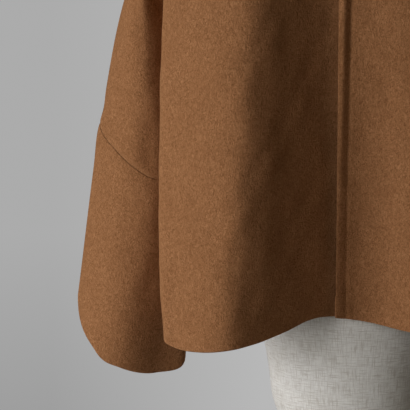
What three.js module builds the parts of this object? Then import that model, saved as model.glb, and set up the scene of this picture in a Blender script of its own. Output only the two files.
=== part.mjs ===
// A short A-line coat in brushed wool, buttoned out of sight, worn by a limbless dress form.
// Millimetres, +Z up. The front faces -Y and the wearer's right is -X.
// The origin is on the floor, at the middle of the stand's round base.

import * as THREE from "three";

// ---- Driving sizes ----

const CLOTH = 2.4; // thickness of the fulled wool
const SEAM_GAP = 0.3; // clearance between two pieces that are sewn together
const ARMHOLE_GAP = 0.45; // the same at the armhole, whose edges are twisted
const LAP_LIFT = CLOTH + 1.2; // how far the left front stands off the right front under it

const NECK = { halfWidth: 82, frontDepth: 76, backDepth: 66, z: 1358, frontDrop: 74, backDrop: 16 };
const SHOULDER = { tipX: 190, tipZ: 1312, endX: 252, endZ: 1274 };

// Distances run down the cloth from the neck and shoulders to the three sections that shape it.
const DOWN = { top: 0, chest: 130, underarm: 430, hem: 640 };
const CHEST_Z = 1200;
const UNDERARM = { x: 232, depth: CLOTH + SEAM_GAP, z: 900 };

const RIGHT = -1;
const LEFT = 1;
const FRONT = -1;
const BACK = 1;

// ---- Tables ----

const table = (columns, ...rows) =>
  rows.map((row) => Object.fromEntries(columns.map((name, i) => [name, row[i]])));

// The lines that shape a panel, from its middle to its side seam. x is measured outward from the
// body's middle plane and d is the distance in front of (or behind) the shoulder line.
// across is the line's place along the panel, and top its place along the neck (under 1: 0 is the
// middle, 1 the neck point) or the shoulder (1 to 2). steps is the number of facets up to the
// next line.
const BODY_COLUMNS = ["name", "across", "top", "steps",
  "chestX", "chestD", "underX", "underD", "hemX", "hemD", "hemZ"];

const FRONT_RIGHT = table(BODY_COLUMNS,
  ["edge",     0, -0.25, 1,  -31, 122,   -31, 111,   -31, 104, 711],
  ["centre",  31,  0.00, 1,    0, 117,     0, 104,     0,  98, 714],
  ["lap",     62,  0.22, 1,   32, 114,    32, 108,    32, 105, 717],
  ["hollow",  92,  0.42, 2,   62, 120,    61, 126,    60, 123, 718],
  ["slope",  145,  0.72, 2,   98, 138,   104, 155,   108, 159, 704],
  ["rise",   182,  1.00, 2,  123, 150,   138, 178,   146, 187, 695],
  ["crest",  225,  1.20, 2,  158, 157,   174, 190,   184, 206, 690],
  ["bank",   265,  1.38, 2,  200, 142,   214, 174,   222, 196, 686],
  ["roll",   298,  1.50, 2,  242, 113,   251, 147,   252, 174, 686],
  ["fold",   325,  1.60, 2,  268,  88,   277, 120,   270, 154, 693],
  ["tuck",   360,  1.70, 2,  259,  56,   259,  74,   248,  80, 700],
  ["side",   400,  1.76, 0,  250,  24,   UNDERARM.x, UNDERARM.depth, 214,   0, 704]);

const FRONT_LEFT = table(BODY_COLUMNS,
  ["edge",     0, -0.25, 1,  -32, 114,   -32, 108,   -32, 105, 716],
  ["centre",  31,  0.00, 1,    0, 117,     0, 104,     0,  98, 711],
  ["lap",     62,  0.22, 1,   31, 122,    30, 111,    29, 104, 706],
  ["hollow",  92,  0.44, 2,   60, 127,    57, 125,    55, 122, 702],
  ["slope",  145,  0.72, 2,  102, 138,   100, 152,    98, 160, 697],
  ["rise",   182,  1.00, 2,  129, 151,   134, 180,   132, 191, 691],
  ["crest",  225,  1.20, 2,  161, 154,   168, 188,   166, 206, 688],
  ["bank",   265,  1.38, 2,  202, 140,   210, 172,   210, 196, 687],
  ["roll",   298,  1.50, 2,  238, 110,   246, 138,   246, 170, 689],
  ["fold",   325,  1.60, 2,  268,  85,   276, 116,   267, 148, 694],
  ["tuck",   360,  1.70, 2,  256,  56,   256,  72,   248,  78, 700],
  ["side",   400,  1.76, 0,  250,  24,   UNDERARM.x, UNDERARM.depth, 214,   0, 705]);

const BACK_RIGHT = table(BODY_COLUMNS,
  ["centre",   0,  0.00, 2,    0, 112,     0, 128,     0, 142, 706],
  ["hollow",  62,  0.50, 2,   62, 113,    62, 126,    64, 138, 707],
  ["slope",  110,  0.78, 2,  104, 122,   106, 140,   110, 160, 702],
  ["rise",   150,  1.00, 2,  138, 130,   146, 160,   150, 186, 697],
  ["crest",  195,  1.22, 2,  176, 128,   192, 168,   196, 196, 695],
  ["roll",   240,  1.42, 2,  218, 110,   236, 150,   240, 176, 697],
  ["fold",   280,  1.60, 2,  255,  80,   270, 116,   266, 146, 699],
  ["tuck",   318,  1.70, 2,  253,  54,   254,  72,   247,  80, 702],
  ["side",   360,  1.76, 0,  250,  24,   UNDERARM.x, UNDERARM.depth, 214,   0, 704]);

const BACK_LEFT = table(BODY_COLUMNS,
  ["centre",   0,  0.00, 2,    0, 112,     0, 128,     0, 142, 706],
  ["hollow",  62,  0.50, 2,   62, 114,    64, 134,    66, 158, 704],
  ["slope",  110,  0.78, 2,  104, 121,   108, 146,   112, 178, 699],
  ["rise",   150,  1.00, 2,  138, 127,   146, 152,   150, 178, 698],
  ["crest",  195,  1.22, 2,  176, 126,   190, 150,   196, 172, 698],
  ["roll",   240,  1.42, 2,  218, 109,   234, 142,   240, 168, 698],
  ["fold",   280,  1.60, 2,  255,  79,   269, 112,   264, 142, 699],
  ["tuck",   318,  1.70, 2,  253,  54,   253,  70,   247,  78, 702],
  ["side",   360,  1.76, 0,  250,  24,   UNDERARM.x, UNDERARM.depth, 214,   0, 705]);

// The lines that shape the arm, from the valley beside the body round to the outer fold: on the
// panel above the armhole seam, and on the sleeve below it. Both rings lean down to the front.
const ARM_COLUMNS = ["name", "across", "top", "steps", "chestX", "chestD",
  "seamX", "seamD", "seamZ", "cuffX", "cuffD", "cuffZ"];

const ARM_FRONT = table(ARM_COLUMNS,
  ["valley",   0, 1.76, 2,  250, 24,   UNDERARM.x, UNDERARM.depth, UNDERARM.z, 243,  0, 634],
  ["inner",   45, 1.84, 2,  275, 27,   258, 42, 904,   285, 33, 617],
  ["front",   90, 1.92, 2,  302, 47,   296, 60, 911,   337, 57, 631],
  ["round",  130, 1.97, 3,  315, 34,   337, 46, 942,   374, 48, 653],
  ["outer",  170, 2.00, 0,  319,  0,   368,  0, 985,   404,  0, 727]);

const ARM_BACK = table(ARM_COLUMNS,
  ["valley",   0, 1.76, 2,  250, 24,   UNDERARM.x, UNDERARM.depth, UNDERARM.z, 243,  0, 634],
  ["inner",   45, 1.84, 2,  275, 38,   258, 45, 907,   259, 42, 644],
  ["back",    90, 1.92, 2,  299, 49,   296, 60, 928,   300, 60, 678],
  ["round",  130, 1.97, 3,  314, 32,   338, 44, 962,   360, 50, 708],
  ["outer",  170, 2.00, 0,  319,  0,   368,  0, 985,   404,  0, 727]);
const ARM_END = 170;

// The dress form, by height: half its width, how far it reaches in front and behind, and how
// full its outline is (2 is an ellipse, and less is drawn in between the neck and the shoulders).
const FORM = table(["z", "halfWidth", "front", "back", "fullness"],
  [530,  84,  60,  66, 2],
  [536,  95,  71,  77, 2],
  [552, 105,  81,  88, 2],
  [580, 114,  88,  97, 2],
  [620, 119,  91, 102, 2],
  [660, 126,  91, 107, 2],
  [710, 139,  92, 112, 2],
  [760, 147,  93, 114, 2],
  [820, 143,  93, 108, 2],
  [880, 129,  90,  92, 2],
  [950, 112,  84,  74, 2],
  [1010, 117, 90,  78, 2],
  [1070, 128, 100, 88, 2],
  [1120, 136, 104, 94, 2],
  [1165, 141, 101, 97, 2],
  [1210, 148, 92,  97, 2],
  [1250, 162, 80,  92, 1.95],
  [1282, 178, 67,  84, 1.8],
  [1302, 182, 55,  70, 1.5],
  [1317, 168, 49,  61, 1.3],
  [1332, 134, 43,  54, 1.2],
  [1346,  98, 43,  52, 1.25],
  [1358,  73.5, 46,  53, 1.7],
  [1376,  63, 48,  54, 2],
  [1436,  57, 48,  54, 2]);
const FORM_SIDES = 32;

const STAND = {
  capRadiusX: 60, capRadiusY: 56, capZ: 1436.3, capHeight: 13, capRim: 4,
  collarRadius: 24, collarHeight: 26, poleRadius: 14,
  baseRadius: 165, baseHeight: 10, baseEdge: 3, hubRadius: 34, hubHeight: 22, sides: 32,
};

// ---- Smooth curves ----

const lerp = (a, b, t) => a + (b - a) * t;
const smoothstep = (low, high, value) => THREE.MathUtils.smoothstep(value, low, high);

function hermite(p0, m0, p1, m1, width, t) {
  const t2 = t * t;
  const t3 = t2 * t;
  return (2 * t3 - 3 * t2 + 1) * p0 + (t3 - 2 * t2 + t) * width * m0
    + (3 * t2 - 2 * t3) * p1 + (t3 - t2) * width * m1;
}

// The slope of a smooth curve through its stations, or the one asked for at either end. A taut
// curve never swings past its stations: its slope there is the harmonic mean of its chords'.
function slopeAt(stations, values, i, ends) {
  const last = stations.length - 1;
  const chord = (k) => (values[k + 1] - values[k]) / (stations[k + 1] - stations[k]);
  if (i === 0) return ends.first ?? chord(0);
  if (i === last) return ends.last ?? chord(last - 1);
  const [before, after] = [chord(i - 1), chord(i)];
  if (ends.taut) return before * after > 0 ? 2 * before * after / (before + after) : 0;
  const widthBefore = stations[i] - stations[i - 1];
  const widthAfter = stations[i + 1] - stations[i];
  return (before * widthAfter + after * widthBefore) / (widthBefore + widthAfter);
}

function along(stations, values, at, ends = {}) {
  const last = stations.length - 1;
  let i = 0;
  while (i < last - 1 && at > stations[i + 1]) i += 1;
  const width = stations[i + 1] - stations[i];
  return hermite(values[i], slopeAt(stations, values, i, ends),
    values[i + 1], slopeAt(stations, values, i + 1, ends), width, (at - stations[i]) / width);
}

// ---- The coat's surface: x outward, d in front or behind, z up ----

// A point of the neck edge or the shoulder line.
function topPoint(face, top) {
  if (top <= 1) {
    const angle = top * Math.PI / 2;
    const depth = face === FRONT ? NECK.frontDepth : NECK.backDepth;
    const drop = face === FRONT ? NECK.frontDrop : NECK.backDrop;
    const share = Math.cos(angle);
    return [NECK.halfWidth * Math.sin(angle), depth * share, NECK.z - drop * share ** 1.7];
  }
  const x = lerp(NECK.halfWidth, SHOULDER.endX, top - 1);
  const z = along([NECK.halfWidth, SHOULDER.tipX, SHOULDER.endX],
    [NECK.z, SHOULDER.tipZ, SHOULDER.endZ], x, { first: -0.4, last: -0.78 });
  return [x, 0, z];
}

// The way the cloth leaves the neck edge, the shoulder and the outer fold.
function topSlope(top) {
  const neck = [0.1 * smoothstep(0, 0.4, top), 0.42, -0.9];
  const shoulder = [0.16, 1.45, -0.08];
  const outer = [0.62, 0, -0.62];
  const toShoulder = smoothstep(0.35, 1.05, top);
  const toOuter = smoothstep(1.6, 2, top);
  return [0, 1, 2].map((i) => lerp(lerp(neck[i], shoulder[i], toShoulder), outer[i], toOuter));
}

// A point of one shaping section, which runs smoothly through the rows' points.
function sectionPoint(rows, keys, at, ends) {
  const stations = rows.map((row) => row.across);
  return keys.map((key, i) => {
    const values = rows.map((row) => (typeof key === "string" ? row[key] : key));
    return along(stations, values, at, ends[i] ?? {});
  });
}

const linear = (rows, key, at) => {
  let i = 0;
  while (i < rows.length - 2 && at > rows[i + 1].across) i += 1;
  const [a, b] = [rows[i], rows[i + 1]];
  return lerp(a[key], b[key], (at - a.across) / (b.across - a.across));
};

// The cloth runs down one line through the sections.
function downTheCloth(face, top, sections, down) {
  const start = topPoint(face, top);
  const slope = topSlope(top);
  const stations = [DOWN.top, DOWN.chest, DOWN.underarm, DOWN.hem];
  return [0, 1, 2].map((i) =>
    along(stations, [start[i], ...sections.map((point) => point[i])], down,
      { first: slope[i], taut: true }));
}

function bodyPoint(panel, across, down) {
  const { rows, face, lap } = panel;
  const chest = sectionPoint(rows, ["chestX", "chestD", CHEST_Z], across,
    [{ first: 1, last: -0.1 }, { first: 0, last: -0.9 }, {}]);
  const under = sectionPoint(rows, ["underX", "underD", UNDERARM.z], across,
    [{ first: 1, last: -0.25 }, { last: -1.5 }, {}]);
  const hem = sectionPoint(rows, ["hemX", "hemD", "hemZ"], across,
    [{ first: 1, last: -0.35 }, { last: -1.5 }, {}]);
  const point = downTheCloth(face, linear(rows, "top", across), [chest, under, hem], down);
  if (lap) point[1] += LAP_LIFT * (1 - smoothstep(45, 95, point[0]));
  return point;
}

function armPoint(panel, across, down) {
  const rows = panel.face === FRONT ? ARM_FRONT : ARM_BACK;
  const climb = panel.face === FRONT ? { first: 0, last: 1.2 } : { first: 0, last: 0.7 };
  const cuffClimb = panel.face === FRONT ? { first: -1.5, last: 3.4 } : { first: 0, last: 0.5 };
  const chest = sectionPoint(rows, ["chestX", "chestD", CHEST_Z], across,
    [{ first: 0.3, last: 0 }, { first: 0.8, last: -1 }, {}]);
  const seam = sectionPoint(rows, ["seamX", "seamD", "seamZ"], across,
    [{ first: 0.2, last: 0 }, { first: 1.3, last: -1.1 }, climb]);
  const cuff = sectionPoint(rows, ["cuffX", "cuffD", "cuffZ"], across,
    [{ first: 0, last: 0 }, { first: 1.3, last: -1.1 }, cuffClimb]);
  return downTheCloth(panel.face, linear(rows, "top", across), [chest, seam, cuff], down);
}

// ---- Walls of cloth ----

// Places one surface point, from outward x and depth d, in the coat's own frame.
const place = (panel, [x, d, z]) =>
  new THREE.Vector3(panel.side * x, panel.face * Math.max(d, SEAM_GAP / 2), z);

function normalAt(panel, surface, across, down, acrossEnd) {
  const step = 0.5;
  const at = (a, d) => place({ side: 1, face: 1 }, surface(panel, a, d));
  const a0 = Math.max(across - step, 0);
  const a1 = Math.min(across + step, acrossEnd);
  const d0 = Math.max(down - step, 0);
  const acrossWay = at(a1, down).sub(at(a0, down));
  const downWay = at(across, down + step).sub(at(across, d0));
  const normal = acrossWay.cross(downWay).normalize();
  return new THREE.Vector3(panel.side * normal.x, panel.face * normal.y, normal.z);
}

const EVEN = 1e-4; // diagonals this close count as equal, so both sides are cut alike

// Gathers outer points and facets, then closes them into a wall CLOTH thick.
class Wall {
  constructor() {
    this.points = [];
    this.normals = [];
    this.index = new Map();
    this.triangles = [];
  }

  vertex(key, point, normal) {
    if (!this.index.has(key)) {
      this.index.set(key, this.points.length);
      this.points.push(point);
      this.normals.push(normal.clone());
    } else {
      this.normals[this.index.get(key)].add(normal);
    }
    return this.index.get(key);
  }

  quad(a, b, c, d, flip) {
    const [p, q, r, s] = [a, b, c, d].map((i) => this.points[i]);
    const pairs = p.distanceTo(r) < q.distanceTo(s) + EVEN
      ? [[a, b, c], [a, c, d]] : [[a, b, d], [b, c, d]];
    for (const [i, j, k] of pairs) this.triangles.push(flip ? [i, k, j] : [i, j, k]);
  }

  // Rows of vertex indices, each as long as the others, become facets.
  grid(rows, flip) {
    for (let i = 0; i + 1 < rows.length; i += 1) {
      for (let j = 0; j + 1 < rows[i].length; j += 1) {
        this.quad(rows[i][j], rows[i + 1][j], rows[i + 1][j + 1], rows[i][j + 1], flip);
      }
    }
  }

  geometry() {
    const count = this.points.length;
    const inner = this.points.map((point, i) =>
      point.clone().addScaledVector(this.normals[i].normalize(), -CLOTH));
    const free = new Map();
    for (const triangle of this.triangles) {
      triangle.forEach((from, k) => {
        const to = triangle[(k + 1) % 3];
        if (!free.delete(`${to},${from}`)) free.set(`${from},${to}`, [from, to]);
      });
    }
    const rim = [...free.values()].flatMap(([a, b]) => {
      const steep = this.points[a].distanceTo(inner[b]) < this.points[b].distanceTo(inner[a]) + EVEN;
      return steep ? [[b, a, b + count], [a, a + count, b + count]]
        : [[b, a, a + count], [b, a + count, b + count]];
    });
    const back = this.triangles.map(([a, b, c]) => [a + count, c + count, b + count]);
    const geometry = new THREE.BufferGeometry();
    const positions = [...this.points, ...inner].flatMap((p) => [p.x, p.y, p.z]);
    geometry.setAttribute("position", new THREE.Float32BufferAttribute(positions, 3));
    geometry.setIndex([...this.triangles, ...back, ...rim].flat());
    geometry.computeVertexNormals();
    return geometry;
  }
}

// The places across a panel where its facets change, with more of them where it turns sharply.
function stops(rows) {
  const places = [rows[0].across];
  rows.slice(0, -1).forEach((row, i) => {
    for (let k = 1; k <= row.steps; k += 1) {
      places.push(lerp(row.across, rows[i + 1].across, k / row.steps));
    }
  });
  return places;
}

const evenly = (from, to, steps) =>
  Array.from({ length: steps + 1 }, (_, i) => lerp(from, to, i / steps));

const UPPER_DOWNS = [...evenly(DOWN.top, DOWN.chest, 6),
  ...evenly(DOWN.chest, DOWN.underarm, 5).slice(1)];
const LOWER_DOWNS = evenly(DOWN.underarm, DOWN.hem, 5).slice(1);
const SLEEVE_DOWNS = evenly(DOWN.underarm, DOWN.hem, 6);

// Seams in the middle plane have rims in that plane, so that both sides meet face to face.
function onSeam(normal) {
  normal.y = 0;
  return normal;
}

// Half a panel: the body from its middle to the side seam, and the arm above the armhole seam.
function addHalfPanel(wall, panel) {
  const flip = panel.side * panel.face > 0;
  const bodyEnd = panel.rows.at(-1).across;
  const isUnderarm = (down, across, end) => down === DOWN.underarm && across === end;
  const name = (across, down) => {
    const shared = panel.rows[0].name === "centre" && across === 0;
    return `${shared ? "middle" : `body ${panel.side}`} ${across} ${down}`;
  };

  const bodyVertex = (across, down) => {
    const normal = normalAt(panel, bodyPoint, across, down, bodyEnd);
    const onShoulder = down === 0 && linear(panel.rows, "top", across) >= 1;
    const onSide = across === bodyEnd && down > DOWN.underarm;
    if (onShoulder || onSide) onSeam(normal);
    if (isUnderarm(down, across, bodyEnd)) normal.set(panel.side * 0.4, panel.face, -0.4);
    return wall.vertex(name(across, down), place(panel, bodyPoint(panel, across, down)), normal);
  };
  const armVertex = (across, down) => {
    if (across === 0) {
      const normal = normalAt(panel, armPoint, across, down, ARM_END);
      if (down === 0) onSeam(normal);
      if (down === DOWN.underarm) normal.set(-panel.side * 0.4, panel.face, -0.4);
      return wall.vertex(name(bodyEnd, down), place(panel, armPoint(panel, 0, down)), normal);
    }
    const normal = normalAt(panel, armPoint, across, down, ARM_END);
    if (down === 0 || across === ARM_END) onSeam(normal);
    return wall.vertex(`arm ${panel.side} ${across} ${down}`,
      place(panel, armPoint(panel, across, down)), normal);
  };

  const downs = [...UPPER_DOWNS, ...LOWER_DOWNS];
  wall.grid(downs.map((down) => stops(panel.rows).map((a) => bodyVertex(a, down))), flip);
  wall.grid(UPPER_DOWNS.map((down) => stops(ARM_FRONT).map((a) => armVertex(a, down))), flip);
}

function panelGeometry(...halves) {
  const wall = new Wall();
  for (const half of halves) addHalfPanel(wall, half);
  return wall.geometry();
}

// How far the sleeve's edge lies down the cloth from the panel's, so that they stay
// ARMHOLE_GAP apart measured square to the seam.
function acrossArmhole(panel, across) {
  const at = (a, d) => place(panel, armPoint(panel, a, d));
  const alongSeam = at(Math.min(across + 1, ARM_END), DOWN.underarm)
    .sub(at(Math.max(across - 1, 0), DOWN.underarm));
  const down = at(across, DOWN.underarm + 1).sub(at(across, DOWN.underarm));
  return down.setLength(ARMHOLE_GAP / Math.sin(down.angleTo(alongSeam)));
}

// A sleeve: the arm's front and back lines, from the armhole seam to the cuff.
function sleeveGeometry(side) {
  const wall = new Wall();
  for (const face of [FRONT, BACK]) {
    const panel = { side, face };
    const rows = SLEEVE_DOWNS.map((down, i) => stops(ARM_FRONT).map((across) => {
      const normal = normalAt(panel, armPoint, across, down, ARM_END);
      const onFold = across === 0 || across === ARM_END;
      if (onFold) onSeam(normal);
      if (across === 0) normal.set(-side, 0, 0);
      const point = place(panel, armPoint(panel, across, down));
      if (i === 0) point.add(acrossArmhole(panel, across));
      if (onFold) point.y = 0;
      return wall.vertex(`${onFold ? "fold" : face} ${across} ${down}`, point, normal);
    }));
    wall.grid(rows, side * face > 0);
  }
  return wall.geometry();
}

// ---- The dress form and its stand ----

function formGeometry() {
  const positions = [];
  const indices = [];
  FORM.forEach((row) => {
    for (let k = 0; k < FORM_SIDES; k += 1) {
      const angle = 2 * Math.PI * k / FORM_SIDES;
      const reach = Math.sin(angle) < 0 ? row.front : row.back;
      const [x, y] = [Math.cos(angle), Math.sin(angle)].map((share) =>
        Math.sign(share) * Math.abs(share) ** (2 / row.fullness));
      positions.push(row.halfWidth * x, reach * y, row.z);
    }
  });
  const ring = (r, k) => r * FORM_SIDES + (k % FORM_SIDES);
  for (let r = 0; r + 1 < FORM.length; r += 1) {
    for (let k = 0; k < FORM_SIDES; k += 1) {
      indices.push(ring(r, k), ring(r, k + 1), ring(r + 1, k + 1));
      indices.push(ring(r, k), ring(r + 1, k + 1), ring(r + 1, k));
    }
  }
  const last = FORM.length - 1;
  for (let k = 1; k + 1 < FORM_SIDES; k += 1) {
    indices.push(ring(0, 0), ring(0, k + 1), ring(0, k));
    indices.push(ring(last, 0), ring(last, k), ring(last, k + 1));
  }
  const geometry = new THREE.BufferGeometry();
  geometry.setAttribute("position", new THREE.Float32BufferAttribute(positions, 3));
  geometry.setIndex(indices);
  geometry.computeVertexNormals();
  return geometry;
}

// A turned piece standing on z = 0, from a profile of [radius, height] that starts on the axis.
function turned(profile) {
  const points = profile.map(([radius, height]) => new THREE.Vector2(radius, height));
  return new THREE.LatheGeometry(points, STAND.sides).rotateX(Math.PI / 2);
}

function capGeometry() {
  const { capHeight, capRim } = STAND;
  const cap = turned([[0, 0], [1, 0], [1, capHeight - capRim],
    [0.97, capHeight - 1], [0.9, capHeight], [0, capHeight]]);
  return cap.scale(STAND.capRadiusX, STAND.capRadiusY, 1);
}

function baseGeometry() {
  const { baseRadius, baseHeight, baseEdge } = STAND;
  return turned([[0, 0], [baseRadius, 0], [baseRadius, baseHeight - baseEdge],
    [baseRadius - baseEdge, baseHeight], [0, baseHeight]]);
}

function hubGeometry() {
  const { hubRadius, hubHeight, poleRadius } = STAND;
  return turned([[0, 0], [hubRadius, 0], [hubRadius, hubHeight / 2],
    [poleRadius + 4, hubHeight], [0, hubHeight]]);
}

const poleGeometry = (height) => turned([[0, 0], [STAND.poleRadius, 0],
  [STAND.poleRadius, height], [0, height]]);

const collarGeometry = () => turned([[0, 0], [STAND.collarRadius - 3, 0],
  [STAND.collarRadius, 3], [STAND.collarRadius, STAND.collarHeight], [0, STAND.collarHeight]]);

// ---- The whole ----

const WOOL = { color: 0x946844, roughness: 0.92, metalness: 0 };
const LINEN = { color: 0xcfc8be, roughness: 0.9, metalness: 0 };
const WOOD = { color: 0x8a6a4a, roughness: 0.55, metalness: 0 };
const STEEL = { color: 0x8d8f92, roughness: 0.35, metalness: 0.9 };

const coat = new THREE.Group();

function add(name, geometry, finish, z = 0) {
  const mesh = new THREE.Mesh(geometry, new THREE.MeshStandardMaterial(finish));
  mesh.name = name;
  mesh.position.z = z;
  coat.add(mesh);
}

const half = (side, face, rows, lap = false) => ({ side, face, rows, lap });

add("front_right", panelGeometry(half(RIGHT, FRONT, FRONT_RIGHT)), WOOL);
add("front_left", panelGeometry(half(LEFT, FRONT, FRONT_LEFT, true)), WOOL);
add("back", panelGeometry(half(RIGHT, BACK, BACK_RIGHT), half(LEFT, BACK, BACK_LEFT)), WOOL);
add("sleeve_right", sleeveGeometry(RIGHT), WOOL);
add("sleeve_left", sleeveGeometry(LEFT), WOOL);

const hubZ = STAND.baseHeight;
const poleZ = hubZ + STAND.hubHeight;
const collarZ = FORM[0].z - STAND.collarHeight;

add("form_torso", formGeometry(), LINEN);
add("neck_cap", capGeometry(), WOOD, STAND.capZ);
add("pole_collar", collarGeometry(), STEEL, collarZ);
add("pole", poleGeometry(collarZ - poleZ), STEEL, poleZ);
add("base_hub", hubGeometry(), STEEL, hubZ);
add("base_plate", baseGeometry(), STEEL);

export default coat;
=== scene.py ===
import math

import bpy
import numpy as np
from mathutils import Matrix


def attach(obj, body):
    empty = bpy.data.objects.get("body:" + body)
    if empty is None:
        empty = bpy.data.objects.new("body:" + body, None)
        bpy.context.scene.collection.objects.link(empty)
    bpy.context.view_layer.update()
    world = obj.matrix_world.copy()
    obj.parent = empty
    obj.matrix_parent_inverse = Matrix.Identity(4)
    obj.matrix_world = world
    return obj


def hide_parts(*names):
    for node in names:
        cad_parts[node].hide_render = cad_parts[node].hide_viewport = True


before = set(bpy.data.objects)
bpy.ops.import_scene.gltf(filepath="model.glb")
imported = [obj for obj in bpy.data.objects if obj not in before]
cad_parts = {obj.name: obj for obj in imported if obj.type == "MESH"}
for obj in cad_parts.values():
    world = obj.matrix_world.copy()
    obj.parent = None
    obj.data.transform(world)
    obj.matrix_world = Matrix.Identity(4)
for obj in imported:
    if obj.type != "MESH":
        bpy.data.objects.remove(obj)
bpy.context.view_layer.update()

# A short A-line coat in brushed wool, on a limbless dress form. Metres, +Z up, front to -Y.
#
# The cloth is worked out in millimetres and in the coat's own terms. x runs outward from the
# middle plane, and d in front of (or behind) the shoulder line. "across" runs along a panel from
# its middle to its side seam, and "down" along the cloth from neck and shoulders to the hem.

MM = 0.001
CLOTH = 2.4  # thickness of the fulled wool
SEAM_GAP = 0.3  # clearance between a front and the back, which are sewn together
ARMHOLE_GAP = 0.1  # clearance between a sleeve and the panels above it
LAP_LIFT = CLOTH + 3.2  # how far the left front stands off the right front under it
LAP_FADE = (45, 95)  # the lift is lost between these distances from the middle plane

NECK = {"half_width": 82, "front_depth": 76, "back_depth": 66, "z": 1358,
        "front_drop": 74, "back_drop": 16}
SHOULDER = {"tip_x": 190, "tip_z": 1312, "end_x": 252, "end_z": 1274}
DOWN = {"top": 0, "chest": 130, "underarm": 430, "hem": 640}
CHEST_Z = 1200
UNDER_X, UNDER_D, UNDER_Z = 232, CLOTH + SEAM_GAP, 900  # where the underarm seam begins

SHOULDER_SLOPES = (-0.4, -0.78)  # the shoulder line's fall at the neck and at its end
NECK_BEND = 1.7  # above 1, the neck edge's dip is kept to the middle

# The way the cloth leaves the neck edge, the shoulder line and the outer fold: x, d and z for
# each mm of cloth. It turns from one to the next between these places on the top edge.
NECK_WAY, SHOULDER_WAY, OUTER_WAY = (0.1, 0.42, -0.9), (0.16, 1.45, -0.08), (0.62, 0, -0.62)
NECK_SPREADS = (0, 0.4)
TURN_TO_SHOULDER = (0.35, 1.05)
TURN_TO_OUTER = (1.6, 2.0)

RIGHT, LEFT = -1, 1
FRONT, BACK = -1, 1


# ---- Tables of the coat's shape ----

def table(columns, *rows):
    return [dict(zip(columns, row)) for row in rows]


# A line that shapes a panel: its place across it, its place on the neck (0 to 1) or shoulder
# (1 to 2), its x and d at the chest, the underarm and the hem, and its height at the hem.
BODY_COLUMNS = ("name", "across", "top",
                "chest_x", "chest_d", "under_x", "under_d", "hem_x", "hem_d", "hem_z")

FRONT_RIGHT = table(
    BODY_COLUMNS,
    ("edge", 0, -0.25, -31, 122, -31, 111, -31, 104, 711),
    ("centre", 31, 0.00, 0, 117, 0, 104, 0, 98, 714),
    ("lap", 62, 0.22, 32, 114, 32, 108, 32, 105, 717),
    ("hollow", 92, 0.42, 62, 120, 61, 126, 60, 123, 718),
    ("slope", 145, 0.72, 98, 138, 104, 155, 108, 159, 704),
    ("rise", 182, 1.00, 123, 150, 138, 178, 146, 187, 695),
    ("crest", 225, 1.20, 158, 157, 174, 190, 184, 206, 690),
    ("bank", 265, 1.38, 200, 142, 214, 174, 222, 196, 686),
    ("roll", 298, 1.50, 242, 113, 251, 147, 252, 174, 686),
    ("fold", 325, 1.60, 268, 88, 277, 120, 270, 154, 693),
    ("tuck", 360, 1.70, 259, 56, 259, 74, 248, 80, 700),
    ("side", 400, 1.76, 250, 24, UNDER_X, UNDER_D, 214, 0, 704))

FRONT_LEFT = table(
    BODY_COLUMNS,
    ("edge", 0, -0.25, -32, 114, -32, 108, -32, 105, 716),
    ("centre", 31, 0.00, 0, 117, 0, 104, 0, 98, 711),
    ("lap", 62, 0.22, 31, 122, 30, 111, 29, 104, 706),
    ("hollow", 92, 0.44, 60, 127, 57, 125, 55, 122, 702),
    ("slope", 145, 0.72, 102, 138, 100, 152, 98, 160, 697),
    ("rise", 182, 1.00, 129, 151, 134, 180, 132, 191, 691),
    ("crest", 225, 1.20, 161, 154, 168, 188, 166, 206, 688),
    ("bank", 265, 1.38, 202, 140, 210, 172, 210, 196, 687),
    ("roll", 298, 1.50, 238, 110, 246, 138, 246, 170, 689),
    ("fold", 325, 1.60, 268, 85, 276, 116, 267, 148, 694),
    ("tuck", 360, 1.70, 256, 56, 256, 72, 248, 78, 700),
    ("side", 400, 1.76, 250, 24, UNDER_X, UNDER_D, 214, 0, 705))

BACK_RIGHT = table(
    BODY_COLUMNS,
    ("centre", 0, 0.00, 0, 112, 0, 128, 0, 142, 706),
    ("hollow", 62, 0.50, 62, 113, 62, 126, 64, 138, 707),
    ("slope", 110, 0.78, 104, 122, 106, 140, 110, 160, 702),
    ("rise", 150, 1.00, 138, 130, 146, 160, 150, 186, 697),
    ("crest", 195, 1.22, 176, 128, 192, 168, 196, 196, 695),
    ("roll", 240, 1.42, 218, 110, 236, 150, 240, 176, 697),
    ("fold", 280, 1.60, 255, 80, 270, 116, 266, 146, 699),
    ("tuck", 318, 1.70, 253, 54, 254, 72, 247, 80, 702),
    ("side", 360, 1.76, 250, 24, UNDER_X, UNDER_D, 214, 0, 704))

BACK_LEFT = table(
    BODY_COLUMNS,
    ("centre", 0, 0.00, 0, 112, 0, 128, 0, 142, 706),
    ("hollow", 62, 0.50, 62, 114, 64, 134, 66, 158, 704),
    ("slope", 110, 0.78, 104, 121, 108, 146, 112, 178, 699),
    ("rise", 150, 1.00, 138, 127, 146, 152, 150, 178, 698),
    ("crest", 195, 1.22, 176, 126, 190, 150, 196, 172, 698),
    ("roll", 240, 1.42, 218, 109, 234, 142, 240, 168, 698),
    ("fold", 280, 1.60, 255, 79, 269, 112, 264, 142, 699),
    ("tuck", 318, 1.70, 253, 54, 253, 70, 247, 78, 702),
    ("side", 360, 1.76, 250, 24, UNDER_X, UNDER_D, 214, 0, 705))

# The lines that shape the arm, from the valley beside the body round to the outer fold. "seam"
# is the armhole seam.
ARM_COLUMNS = ("name", "across", "top",
               "chest_x", "chest_d", "seam_x", "seam_d", "seam_z", "cuff_x", "cuff_d", "cuff_z")

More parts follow.
